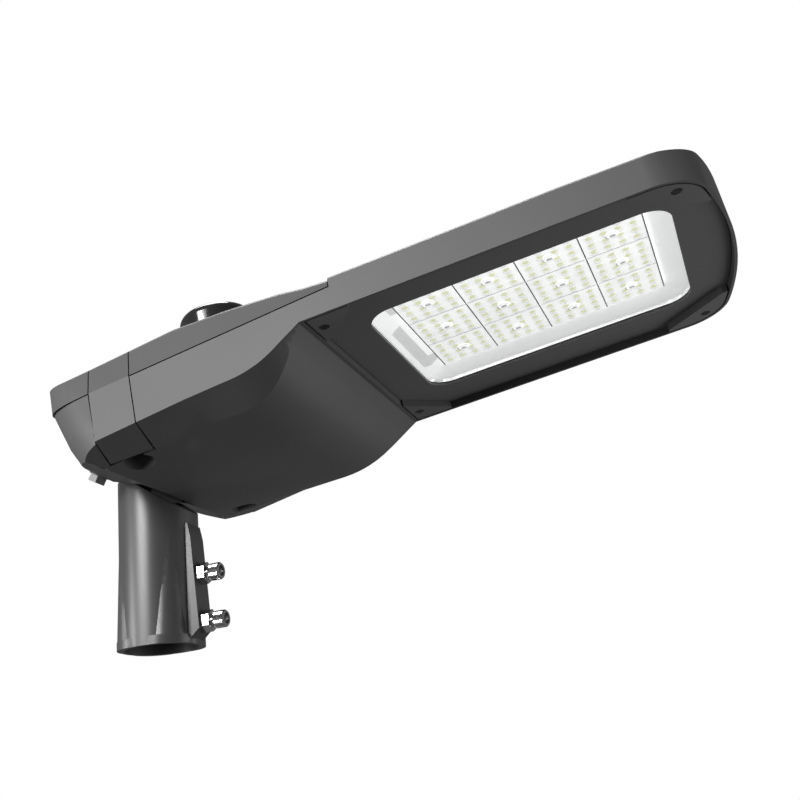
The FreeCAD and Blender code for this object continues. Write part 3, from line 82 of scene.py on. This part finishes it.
def surface(name, dark, light, rough, metal=0.0, grain=900, relief=0.15, patches=14, specular=0.5,
            coat=0.0, rough_spread=0.06, painted_glow=0.0, depth=0.00004):
    """A painted, plated or moulded surface: two close tones in soft patches, and a fine grain. With
    painted_glow it also glows in its own tone, which is painted light.
    """
    made = bpy.data.materials.new(name)
    made.use_nodes = True
    nodes, links = made.node_tree.nodes, made.node_tree.links
    shader = nodes["Principled BSDF"]
    place = nodes.new("ShaderNodeTexCoord")
    wide = noise(nodes, links, place, patches)
    tone = ramp(nodes, ((0.35, dark), (0.65, light)))
    links.new(wide.outputs["Fac"], tone.inputs["Fac"])
    links.new(tone.outputs["Color"], shader.inputs["Base Color"])
    fine = noise(nodes, links, place, grain, 2)
    gloss = ramp(nodes, ((0.3, rough - rough_spread), (0.7, rough + rough_spread)))
    links.new(fine.outputs["Fac"], gloss.inputs["Fac"])
    links.new(gloss.outputs["Color"], shader.inputs["Roughness"])
    bump = nodes.new("ShaderNodeBump")
    bump.inputs["Strength"].default_value = relief
    bump.inputs["Distance"].default_value = depth
    links.new(fine.outputs["Fac"], bump.inputs["Height"])
    links.new(bump.outputs["Normal"], shader.inputs["Normal"])
    shader.inputs["Metallic"].default_value = metal
    shader.inputs["Specular IOR Level"].default_value = specular
    shader.inputs["Coat Weight"].default_value = coat
    # painted light: the surface glows in its own tone, though it is no lamp
    if painted_glow:
        links.new(tone.outputs["Color"], shader.inputs["Emission Color"])
        shader.inputs["Emission Strength"].default_value = painted_glow
    return made


def clear(name, tint, shine, rough):
    """Clear glass or plastic that lets light straight through. Its shine grows towards a slant."""
    made = bpy.data.materials.new(name)
    made.use_nodes = True
    nodes, links = made.node_tree.nodes, made.node_tree.links
    nodes.remove(nodes["Principled BSDF"])
    place = nodes.new("ShaderNodeTexCoord")
    cloud = noise(nodes, links, place, 60)
    tone = ramp(nodes, ((0.4, tuple(0.985 * part for part in tint)), (0.6, tint)))
    links.new(cloud.outputs["Fac"], tone.inputs["Fac"])
    open_part = nodes.new("ShaderNodeBsdfTransparent")
    links.new(tone.outputs["Color"], open_part.inputs["Color"])
    gloss = nodes.new("ShaderNodeBsdfGlossy")
    gloss.inputs["Roughness"].default_value = rough
    slant = nodes.new("ShaderNodeLayerWeight")
    slant.inputs["Blend"].default_value = 0.5
    share = nodes.new("ShaderNodeMapRange")
    share.inputs["From Min"].default_value = 0.5
    share.inputs["From Max"].default_value = 1.0
    share.inputs["To Min"].default_value = shine
    share.inputs["To Max"].default_value = 0.5
    links.new(slant.outputs["Facing"], share.inputs["Value"])
    blend = nodes.new("ShaderNodeMixShader")
    links.new(share.outputs["Result"], blend.inputs["Fac"])
    links.new(open_part.outputs["BSDF"], blend.inputs[1])
    links.new(gloss.outputs["BSDF"], blend.inputs[2])
    links.new(blend.outputs["Shader"], nodes["Material Output"].inputs["Surface"])
    return made


PAINT = surface("charcoal_powder_coat", 0.078, 0.086, 0.46, grain=1500, relief=0.2, patches=9, specular=0.25)
# the housing's charcoal coat made lighter for the window frame and corner caps: painted light on the bezel
LIT_FRAME_PAINT = surface("frame_coat_painted_light", 0.1, 0.108, 0.46, grain=1500, relief=0.2, patches=9, specular=0.25)
TUBE_PAINT = surface("tube_powder_coat", 0.05, 0.056, 0.34, grain=1500, relief=0.12, patches=10, specular=0.5)
CHROME = surface("bright_plating", 0.6, 0.72, 0.16, metal=1.0, grain=600, relief=0.08, patches=90)
DARK_STEEL = surface("dark_plating", 0.05, 0.09, 0.3, metal=1.0, grain=700, relief=0.12, patches=120)
BOLT_STEEL = surface("blackened_steel", 0.09, 0.13, 0.35, grain=700, relief=0.12, patches=120)
STEEL = surface("zinc_steel", 0.42, 0.52, 0.32, metal=1.0, grain=700, relief=0.12, patches=60)
# black rubber of the seals; the same black is painted shade in the cross recesses of the corner caps' screws
RUBBER_AND_CROSS_SHADE = surface("black_seal_and_cross_shade", 0.012, 0.02, 0.7, grain=1200, relief=0.3, patches=40, specular=0.3)
# The reflector, its recess shade, the board, the lens plates, the screw cups, the lens screws, the slot and
# cup shade and the light chips glow in their own tone: painted light that brightens them, for none of them is
# a lamp.
WHITE = surface("white_reflector", 0.84, 0.88, 0.35, grain=1200, relief=0.05, patches=12, painted_glow=0.68)
# painted shade of two shallow recesses in the reflector's rear wall, greyer than the reflector
SHADE = surface("painted_recess_shade", 0.62, 0.66, 0.4, grain=1200, relief=0.05, patches=12, painted_glow=0.55)
BOARD = surface("white_board", 0.78, 0.83, 0.45, grain=900, relief=0.06, patches=30, painted_glow=0.5)
PLATE = surface("lens_plate", (0.87, 0.88, 0.88), (0.94, 0.94, 0.93), 0.2, grain=500, relief=0.05, patches=45,
                painted_glow=0.87, coat=0.2)
# painted shade in the gaps between the lens modules: dark between the columns and at both ends, paler between
# the rows
GAP_SHADE = surface("module_gap_shade", 0.16, 0.22, 0.6, grain=900, relief=0.1, patches=60)
FAINT_GAP_SHADE = surface("module_row_gap_shade", 0.5, 0.58, 0.6, grain=900, relief=0.1, patches=60)
CUP = surface("screw_cup", 0.86, 0.92, 0.3, grain=900, relief=0.1, patches=60, painted_glow=0.85)
LENS_SCREW = surface("lens_screw_steel", 0.7, 0.78, 0.35, grain=900, relief=0.1, patches=60, painted_glow=0.75)
# painted shade: the slots in the lens screws and the shadow beside each screw cup's rim
SLOT_AND_CUP_SHADE = surface("painted_slot_and_cup_shade", 0.2, 0.26, 0.5, grain=900, relief=0.1, patches=60, painted_glow=0.3)
CHIP = surface("light_chip", (0.8, 0.81, 0.56), (0.87, 0.87, 0.66), 0.5, grain=2000, relief=0.2, patches=300,
               painted_glow=0.7)
BLACK = surface("glossy_black", 0.012, 0.018, 0.14, grain=1200, relief=0.03, patches=30, specular=0.6,
                coat=0.3)
SOCKET = surface("black_moulding", 0.016, 0.024, 0.45, grain=1300, relief=0.25, patches=40, specular=0.35)
CASE = surface("driver_case", 0.55, 0.62, 0.35, metal=0.9, grain=900, relief=0.2, patches=40)
GLASS = clear("window_glass", (0.985, 0.99, 0.99), 0.015, 0.03)
DOME = clear("lens_dome", (0.965, 0.967, 0.96), 0.05, 0.1)

NODE_MATERIALS = {
    "spigot": TUBE_PAINT, "housing": PAINT, "gear_cover": PAINT, "latch_near": PAINT, "latch_far": PAINT,
    "window_frame": LIT_FRAME_PAINT, "set_screws": CHROME, "lock_nuts": CHROME, "rear_bolts": BOLT_STEEL,
    "cap_screws": DARK_STEEL, "lens_screws": LENS_SCREW, "pivot_bolt": STEEL, "pivot_nut": STEEL,
    "hinge_pins": STEEL, "latch_pins": STEEL, "tray_screws": STEEL, "gear_tray": STEEL,
    "cover_gasket": RUBBER_AND_CROSS_SHADE, "window_gasket": RUBBER_AND_CROSS_SHADE, "sensor_gasket": RUBBER_AND_CROSS_SHADE, "window_glass": GLASS,
    "reflector": WHITE, "led_board": BOARD, "sensor_cap": BLACK, "sensor_socket": SOCKET,
    "sensor_base": SOCKET, "terminal_block": SOCKET, "surge_protector": SOCKET, "cable_gland": SOCKET,
    "led_driver": CASE,
}
for node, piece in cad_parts.items():
    finish = NODE_MATERIALS.get(node)
    if node.startswith("lens_") and finish is None:
        finish = PLATE
    if node.startswith("corner_cap"):
        finish = LIT_FRAME_PAINT
    for number in range(len(piece.material_slots)):
        piece.material_slots[number].material = finish
    if not piece.material_slots:
        piece.data.materials.append(finish)


def in_head(x, y, z):
    """A place in the head's own millimetres, as a matrix in the scene's metres."""
    return HEAD @ Matrix.Translation(Vector((x, y, z)) * MM)


def ring_point(place, radius, turn, height):
    """The point at an angle and a radius round the Z axis of place, in millimetres."""
    return place @ (Vector((radius * math.cos(turn), radius * math.sin(turn), height)) * MM)


def add_piece(name, mesh, material, body, smooth=True):
    """Makes an object of a finished bmesh and lets it ride a body."""
    data = bpy.data.meshes.new(name)
    bmesh.ops.recalc_face_normals(mesh, faces=mesh.faces)
    mesh.to_mesh(data)
    mesh.free()
    data.materials.append(material)
    for face in data.polygons:
        face.use_smooth = smooth
    made = bpy.data.objects.new(name, data)
    bpy.context.scene.collection.objects.link(made)
    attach(made, body)
    return made


def revolve(mesh, profile, place, segments, ripple=None):
    """Adds a closed body of revolution. profile is (radius, height) pairs that start and end on the axis.

    ripple, if given, is a function of the ring's and the angle's number that changes the radius there.
    """
    rings = []
    for row, (radius, height) in enumerate(profile):
        if radius == 0:
            rings.append([mesh.verts.new(place @ Vector((0, 0, height * MM)))])
            continue
        ring = []
        for step in range(segments):
            turn = 2 * math.pi * step / segments
            size = radius + (ripple(row, step) if ripple else 0)
            ring.append(mesh.verts.new(ring_point(place, size, turn, height)))
        rings.append(ring)
    for low, high in zip(rings, rings[1:]):
        for step in range(segments):
            after = (step + 1) % segments
            corners = [low[step % len(low)], low[after % len(low)],
                       high[after % len(high)], high[step % len(high)]]
            unique = list(dict.fromkeys(corners))
            if len(unique) > 2:
                mesh.faces.new(unique)


# lens bumps and light chips

def lens_spots():
    """The middle of each module, where its screw sits."""
    for row in range(LENS_ROWS):
        for column in range(LENS_COLUMNS):
            yield LENS_START + column * LENS_PITCH + LENS_HALF, (row - (LENS_ROWS - 1) / 2) * LENS_PITCH


# each module has as many domes along it as across it
DOMES = 4
DOME_STEP = 11.6
# outlines of a dome and of the light chip under it, as (radius, height) pairs
DOME_PROFILE = [(0, -2.6), (1.6, -2.45), (3.0, -1.9), (4.0, -1.0), (4.5, 0), (4.5, 0.3), (0, 0.3)]
CHIP_PROFILE = [(0, -0.7), (1.8, -0.6), (2.7, -0.35), (3.1, 0.1), (0, 0.1)]


def lens_bumps():
    """A clear dome over each light chip, sixteen to a module."""
    domes = bmesh.new()
    chips = bmesh.new()
    middle = (DOMES - 1) / 2
    for x, y in lens_spots():
        for row in range(DOMES):
            for column in range(DOMES):
                spot = in_head(x + (column - middle) * DOME_STEP, y + (row - middle) * DOME_STEP, LENS_LEVEL)
                revolve(domes, DOME_PROFILE, spot, 16)
                revolve(chips, CHIP_PROFILE, spot, 10)
    add_piece("lens_domes", domes, DOME, "head")
    add_piece("light_chips", chips, CHIP, "head", False)


# sections of the ring round a module's screw and of the painted shadow beside it, a dark line, as (radius,
# height) pairs
CUP_RING = [(3.2, 0.2), (3.2, -1.2), (3.9, -1.5), (4.8, -1.2), (5.0, 0.2)]
CUP_SHADOW = [(5.05, 0.1), (5.05, -0.9), (5.6, -0.9), (5.6, 0.1)]
# how many steps go round the screw, and the first and last of them that the painted shadow covers, on its far
# side
SHADOW_STEPS = 36
SHADOW_STRETCH = (6, 17)
# how far below the lens plate the painted shade of the slot in the screw's head lies
SLOT_DROP = 1.62


def screw_cups():
    """A white ring round each module's screw, a painted shadow as a dark line beside it on one side, and the
    slot in the screw as a thin plate of painted shade.
    """
    cups = bmesh.new()
    lines = bmesh.new()
    slots = bmesh.new()
    for x, y in lens_spots():
        spot = in_head(x, y, LENS_LEVEL)
        loop(cups, CUP_RING, spot, 20)
        loop(lines, CUP_SHADOW, spot, SHADOW_STEPS, *SHADOW_STRETCH)
        slab(slots, in_head(x, y, LENS_LEVEL - SLOT_DROP), 1.9, 0.55, 0.06)
    add_piece("screw_cups", cups, CUP, "head")
    add_piece("screw_cup_shadows", lines, SLOT_AND_CUP_SHADE, "head", False)
    add_piece("lens_screw_slot_shades", slots, SLOT_AND_CUP_SHADE, "head", False)


# the reflector's rear wall, which leans from the glass up to the lens modules
# its two ends, as (x, level) pairs
WALL_LOW = (243.2, GLASS_TOP)
WALL_HIGH = (LENS_START - 1.5, LENS_LEVEL + LENS_THICK - 0.4)
# outlines on that wall of the two shallow recesses, whose shade is painted on greyer plates, as (x, y) points
RECESS_SHADE_OUTLINES = (((247, -30), (255, -30), (255, 44), (260, 50), (260, 62), (252, 62), (247, 54)),
                 ((255, -52), (260, -46), (260, -72), (258, -74), (255, -70)))


def wall_level(x):
    share = (x - WALL_LOW[0]) / (WALL_HIGH[0] - WALL_LOW[0])
    return WALL_LOW[1] + share * (WALL_HIGH[1] - WALL_LOW[1])


def recess_shade_plates():
    """Painted shade of the two shallow recesses in the reflector's rear wall, as thin greyer plates on it."""
    mesh = bmesh.new()
    for outline in RECESS_SHADE_OUTLINES:
        rows = []
        for lift in (0.05, 0.2):
            points = [Vector((x, y, wall_level(x) - lift)) * MM for x, y in outline]
            rows.append([mesh.verts.new(HEAD @ point) for point in points])
        back, front = rows
        mesh.faces.new(back)
        mesh.faces.new(front[::-1])
        for corner in range(len(outline)):
            after = (corner + 1) % len(outline)
            mesh.faces.new((back[corner], front[corner], front[after], back[after]))
    add_piece("recess_shade_plates", mesh, SHADE, "head", False)


def module_gap_shades():
    """Painted shade in the gaps between the modules: dark lines between the columns and at both ends, faint
    ones between the rows.
    """
    dark = bmesh.new()
    faint = bmesh.new()
    length = (LENS_COLUMNS - 1) * LENS_PITCH + 2 * LENS_HALF
    gap = LENS_PITCH - 2 * LENS_HALF
    for column in range(LENS_COLUMNS + 1):
        place = in_head(LENS_START + column * LENS_PITCH - gap / 2, 0, LENS_LEVEL)
        slab(dark, place, 0.5, LENS_PITCH + LENS_HALF, 0.12)
    for side in (-1, 1):
        place = in_head(LENS_START + length / 2, side * LENS_PITCH / 2, LENS_LEVEL)
        slab(faint, place, length / 2, 0.35, 0.1)
    add_piece("module_gap_shades", dark, GAP_SHADE, "head", False)
    add_piece("module_row_gap_shades", faint, FAINT_GAP_SHADE, "head", False)


def loop(mesh, section, place, segments, first=0, last=None):
    """Adds a ring with a closed section of (radius, height) pairs, or its stretch from step first to last."""
    whole = last is None
    rings = []
    for step in range(first, segments if whole else last + 1):
        turn = 2 * math.pi * step / segments
        rings.append([mesh.verts.new(ring_point(place, radius, turn, height)) for radius, height in section])
    following = rings[1:] + rings[:1] if whole else rings[1:]
    for one, two in zip(rings, following):
        for corner in range(len(section)):
            after = (corner + 1) % len(section)
            mesh.faces.new((one[corner], two[corner], two[after], one[after]))
    if not whole:
        mesh.faces.new(rings[0])
        mesh.faces.new(rings[-1][::-1])


def slab(mesh, place, half_x, half_y, half_z):
    """Adds a box round place."""
    made = bmesh.ops.create_cube(mesh, size=2)
    bmesh.ops.scale(mesh, vec=(half_x * MM, half_y * MM, half_z * MM), verts=made["verts"])
    bmesh.ops.transform(mesh, matrix=place, verts=made["verts"])


# the corner caps' screws on one side of the head, as (x, y), and the level of their heads
CAP_SCREWS = ((489.1, 115.5), (218.7, 112))
CAP_SCREW_LEVEL = 18.57
# how far a cross is turned from the head's length, in radians
CROSS_TURN = 0.4


def cap_screw_cross_shades():
    """The cross in the head of each corner cap's screw, as thin black plates of painted shade."""
    mesh = bmesh.new()
    for x, y in CAP_SCREWS:
        for side in (-1, 1):
            for turn in (CROSS_TURN, CROSS_TURN + math.pi / 2):
                place = in_head(x, side * y, CAP_SCREW_LEVEL) @ Matrix.Rotation(turn, 4, "Z")
                slab(mesh, place, 2.2, 0.55, 0.05)
    add_piece("cap_screw_cross_shades", mesh, RUBBER_AND_CROSS_SHADE, "head", False)


# clamping screws

# level of each screw, and how far out its head starts
CLAMP_SCREWS = ((17, 51.2), (57, 48.5))
SCREW_HEAD_RADIUS = 7.25
SCREW_HEAD_LENGTH = 10
KNURLS = 32
KNURL_DEPTH = 0.4
# the rows of the screw's outline that the knurls are cut into
KNURLED_ROWS = (9, 10)


def clamp_screws():
    """The two set screws with thread, knurled head and hexagon socket, in place of their plain solids."""
    mesh = bmesh.new()
    radius = SCREW_HEAD_RADIUS

    def knurl(row, step):
        return -KNURL_DEPTH if row in KNURLED_ROWS and step % 2 else 0

    for level, head_start in CLAMP_SCREWS:
        head_end = head_start + SCREW_HEAD_LENGTH
        place = Matrix.Translation((0, 0, level * MM)) @ Matrix.Rotation(math.pi / 2, 4, "Y")
        thread = head_start - 2.6
        tip = [(0, 30.8), (4.2, 30.8), (5.0, 31.6)]
        turns = [(5.0, thread), (4.3, thread + 0.5), (4.9, thread + 1), (4.3, thread + 1.5),
                 (4.9, thread + 2)]
        head = [(radius - 1, head_start), (radius, head_start + 0.9), (radius, head_end - 1.2),
                (radius - 0.9, head_end)]
        socket = [(4.6, head_end), (4.4, head_end - 5), (0, head_end - 5.4)]
        profile = tip + turns + head + socket
        revolve(mesh, profile, place, 2 * KNURLS, knurl)
    made = add_piece("clamp_screws", mesh, CHROME, "spigot", False)
    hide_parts("set_screws")


# a CAD piece's edges are broken where they are steeper than this
BEVEL_ANGLE = math.radians(35)
# where it is shaded smooth, they stay sharp past this
SHARP_ANGLE = math.radians(18)
# points closer than this are joined first, in metres
MERGE_DISTANCE = 0.00001


def rounded_edges(nodes, width):
    """Breaks the sharp edges of CAD pieces, so that they catch the light."""
    for node in nodes:
        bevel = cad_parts[node].modifiers.new("edge", "BEVEL")
        bevel.width = width * MM
        bevel.segments = 2
        bevel.limit_method = "ANGLE"
        bevel.angle_limit = BEVEL_ANGLE
        bevel.use_clamp_overlap = True


def smooth_nodes():
    """Nodes that join a mesh's split faces and shade it smooth, with sharp edges past a limit."""
    group = bpy.data.node_groups.new("smooth_shading", "GeometryNodeTree")
    group.interface.new_socket("Geometry", in_out="INPUT", socket_type="NodeSocketGeometry")
    group.interface.new_socket("Geometry", in_out="OUTPUT", socket_type="NodeSocketGeometry")
    start = group.nodes.new("NodeGroupInput")
    end = group.nodes.new("NodeGroupOutput")
    merge = group.nodes.new("GeometryNodeMergeByDistance")
    merge.inputs["Distance"].default_value = MERGE_DISTANCE
    plain = group.nodes.new("GeometryNodeRemoveAttribute")
    plain.inputs["Name"].default_value = "custom_normal"
    faces = group.nodes.new("GeometryNodeSetShadeSmooth")
    faces.domain = "FACE"
    edges = group.nodes.new("GeometryNodeSetShadeSmooth")
    edges.domain = "EDGE"
    edges.inputs["Shade Smooth"].default_value = False
    angle = group.nodes.new("GeometryNodeInputMeshEdgeAngle")
    steep = group.nodes.new("ShaderNodeMath")
    steep.operation = "GREATER_THAN"
    steep.inputs[1].default_value = SHARP_ANGLE
    group.links.new(start.outputs["Geometry"], merge.inputs["Geometry"])
    group.links.new(merge.outputs["Geometry"], plain.inputs["Geometry"])
    group.links.new(plain.outputs["Geometry"], faces.inputs["Geometry"])
    group.links.new(faces.outputs["Geometry"], edges.inputs["Geometry"])
    group.links.new(angle.outputs["Unsigned Angle"], steep.inputs[0])
    group.links.new(steep.outputs["Value"], edges.inputs["Selection"])
    group.links.new(edges.outputs["Geometry"], end.inputs["Geometry"])
    return group


def smooth_facets(nodes):
    """Shades the flat strips of lofted CAD pieces as the one curved surface that they stand for."""
    group = smooth_nodes()
    for node in nodes:
        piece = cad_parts[node]
        piece.modifiers.new("smooth", "NODES").node_group = group
        weights = piece.modifiers.new("weights", "WEIGHTED_NORMAL")
        weights.keep_sharp = True


smooth_facets(["housing", "gear_cover", "spigot", "sensor_cap"])
rounded_edges([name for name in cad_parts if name.startswith("corner_cap")], 0.5)
rounded_edges(["window_frame", "latch_near", "latch_far", "lock_nuts", "rear_bolts"], 0.4)
lens_bumps()
screw_cups()
recess_shade_plates()
module_gap_shades()
cap_screw_cross_shades()
clamp_screws()


# floor, light and camera

# in metres; the floor lies well below the head, which is seen from underneath
FLOOR_LEVEL = -2.6
FLOOR_HALF = 6
# how bright the floor is to lamps, and to the camera
FLOOR_TONES = (0.24, 0.85)
# strength of the white world as light, and as the background
WORLD_LEVELS = (0.15, 1.0)

floor_mesh = bmesh.new()
bmesh.ops.create_grid(floor_mesh, x_segments=1, y_segments=1, size=FLOOR_HALF)
floor_data = bpy.data.meshes.new("floor")
floor_mesh.to_mesh(floor_data)
floor_mesh.free()
floor = bpy.data.objects.new("floor", floor_data)
floor.location = (0, 0, FLOOR_LEVEL)
floor_paint = bpy.data.materials.new("pale_floor")
floor_paint.use_nodes = True
floor_nodes, floor_links = floor_paint.node_tree.nodes, floor_paint.node_tree.links
floor_shader = floor_nodes["Principled BSDF"]
floor_shader.inputs["Roughness"].default_value = 0.9
# The floor is pale to the camera, and throws less light back on the head's underside.
floor_path = floor_nodes.new("ShaderNodeLightPath")
floor_tone = ramp(floor_nodes, tuple(enumerate(FLOOR_TONES)))
floor_links.new(floor_path.outputs["Is Camera Ray"], floor_tone.inputs["Fac"])
floor_links.new(floor_tone.outputs["Color"], floor_shader.inputs["Base Color"])
floor_data.materials.append(floor_paint)
bpy.context.scene.collection.objects.link(floor)

world = bpy.data.worlds.new("studio")
bpy.context.scene.world = world
world.use_nodes = True
world_nodes, world_links = world.node_tree.nodes, world.node_tree.links
background = world_nodes["Background"]
path = world_nodes.new("ShaderNodeLightPath")
seen = world_nodes.new("ShaderNodeMath")
seen.operation = "MAXIMUM"
world_links.new(path.outputs["Is Camera Ray"], seen.inputs[0])
world_links.new(path.outputs["Is Transmission Ray"], seen.inputs[1])
level = world_nodes.new("ShaderNodeMapRange")
level.inputs["To Min"].default_value = WORLD_LEVELS[0]
level.inputs["To Max"].default_value = WORLD_LEVELS[1]
world_links.new(seen.outputs["Value"], level.inputs["Value"])
world_links.new(level.outputs["Result"], background.inputs["Strength"])
background.inputs["Color"].default_value = (1, 1, 1, 1)


def lamp(name, place, aim, width, height, power):
    """A soft rectangular lamp of a width and height in metres, turned towards aim."""
    data = bpy.data.lights.new(name, "AREA")
    data.shape = "RECTANGLE"
    data.size = width
    data.size_y = height
    data.energy = power
    made = bpy.data.objects.new(name, data)
    made.location = place
    direction = Vector(aim) - Vector(place)
    made.rotation_euler = direction.to_track_quat("-Z", "Y").to_euler()
    bpy.context.scene.collection.objects.link(made)


lamp("key", (-1.1, -3.2, 1.3), (0.2, 0, 0.17), 1.6, 1.2, 150)
lamp("left", (-1.2, -0.9, -0.05), (0, 0, 0.07), 0.4, 0.8, 16)
lamp("top", (-0.5, 0.5, 2.8), (0.2, 0, 0.2), 1.5, 1.5, 60)
lamp("front", (1.3, 0.6, -0.2), (0.35, 0, 0.17), 1.1, 1.1, 10)

# The camera's place and directions were fitted to the window and its lens modules in the photo.
CAMERA_PLACE = Vector((0.4863, -0.8144, -0.1378))
CAMERA_RIGHT = Vector((0.9371, 0.3336, -0.1010))
CAMERA_FORWARD = Vector((-0.2825, 0.8965, 0.3406))
CAMERA_LENS = 49.5
SENSOR_WIDTH = 36

camera_data = bpy.data.cameras.new("camera")
camera_data.sensor_width = SENSOR_WIDTH
camera_data.lens = CAMERA_LENS
camera = bpy.data.objects.new("camera", camera_data)
right = CAMERA_RIGHT.normalized()
forward = CAMERA_FORWARD.normalized()
up = right.cross(forward).normalized()
right = forward.cross(up).normalized()
turn = Matrix((right, up, -forward)).transposed()
camera.matrix_world = Matrix.Translation(CAMERA_PLACE) @ turn.to_4x4()
bpy.context.scene.collection.objects.link(camera)
bpy.context.scene.camera = camera
bpy.context.scene.view_settings.view_transform = "Standard"
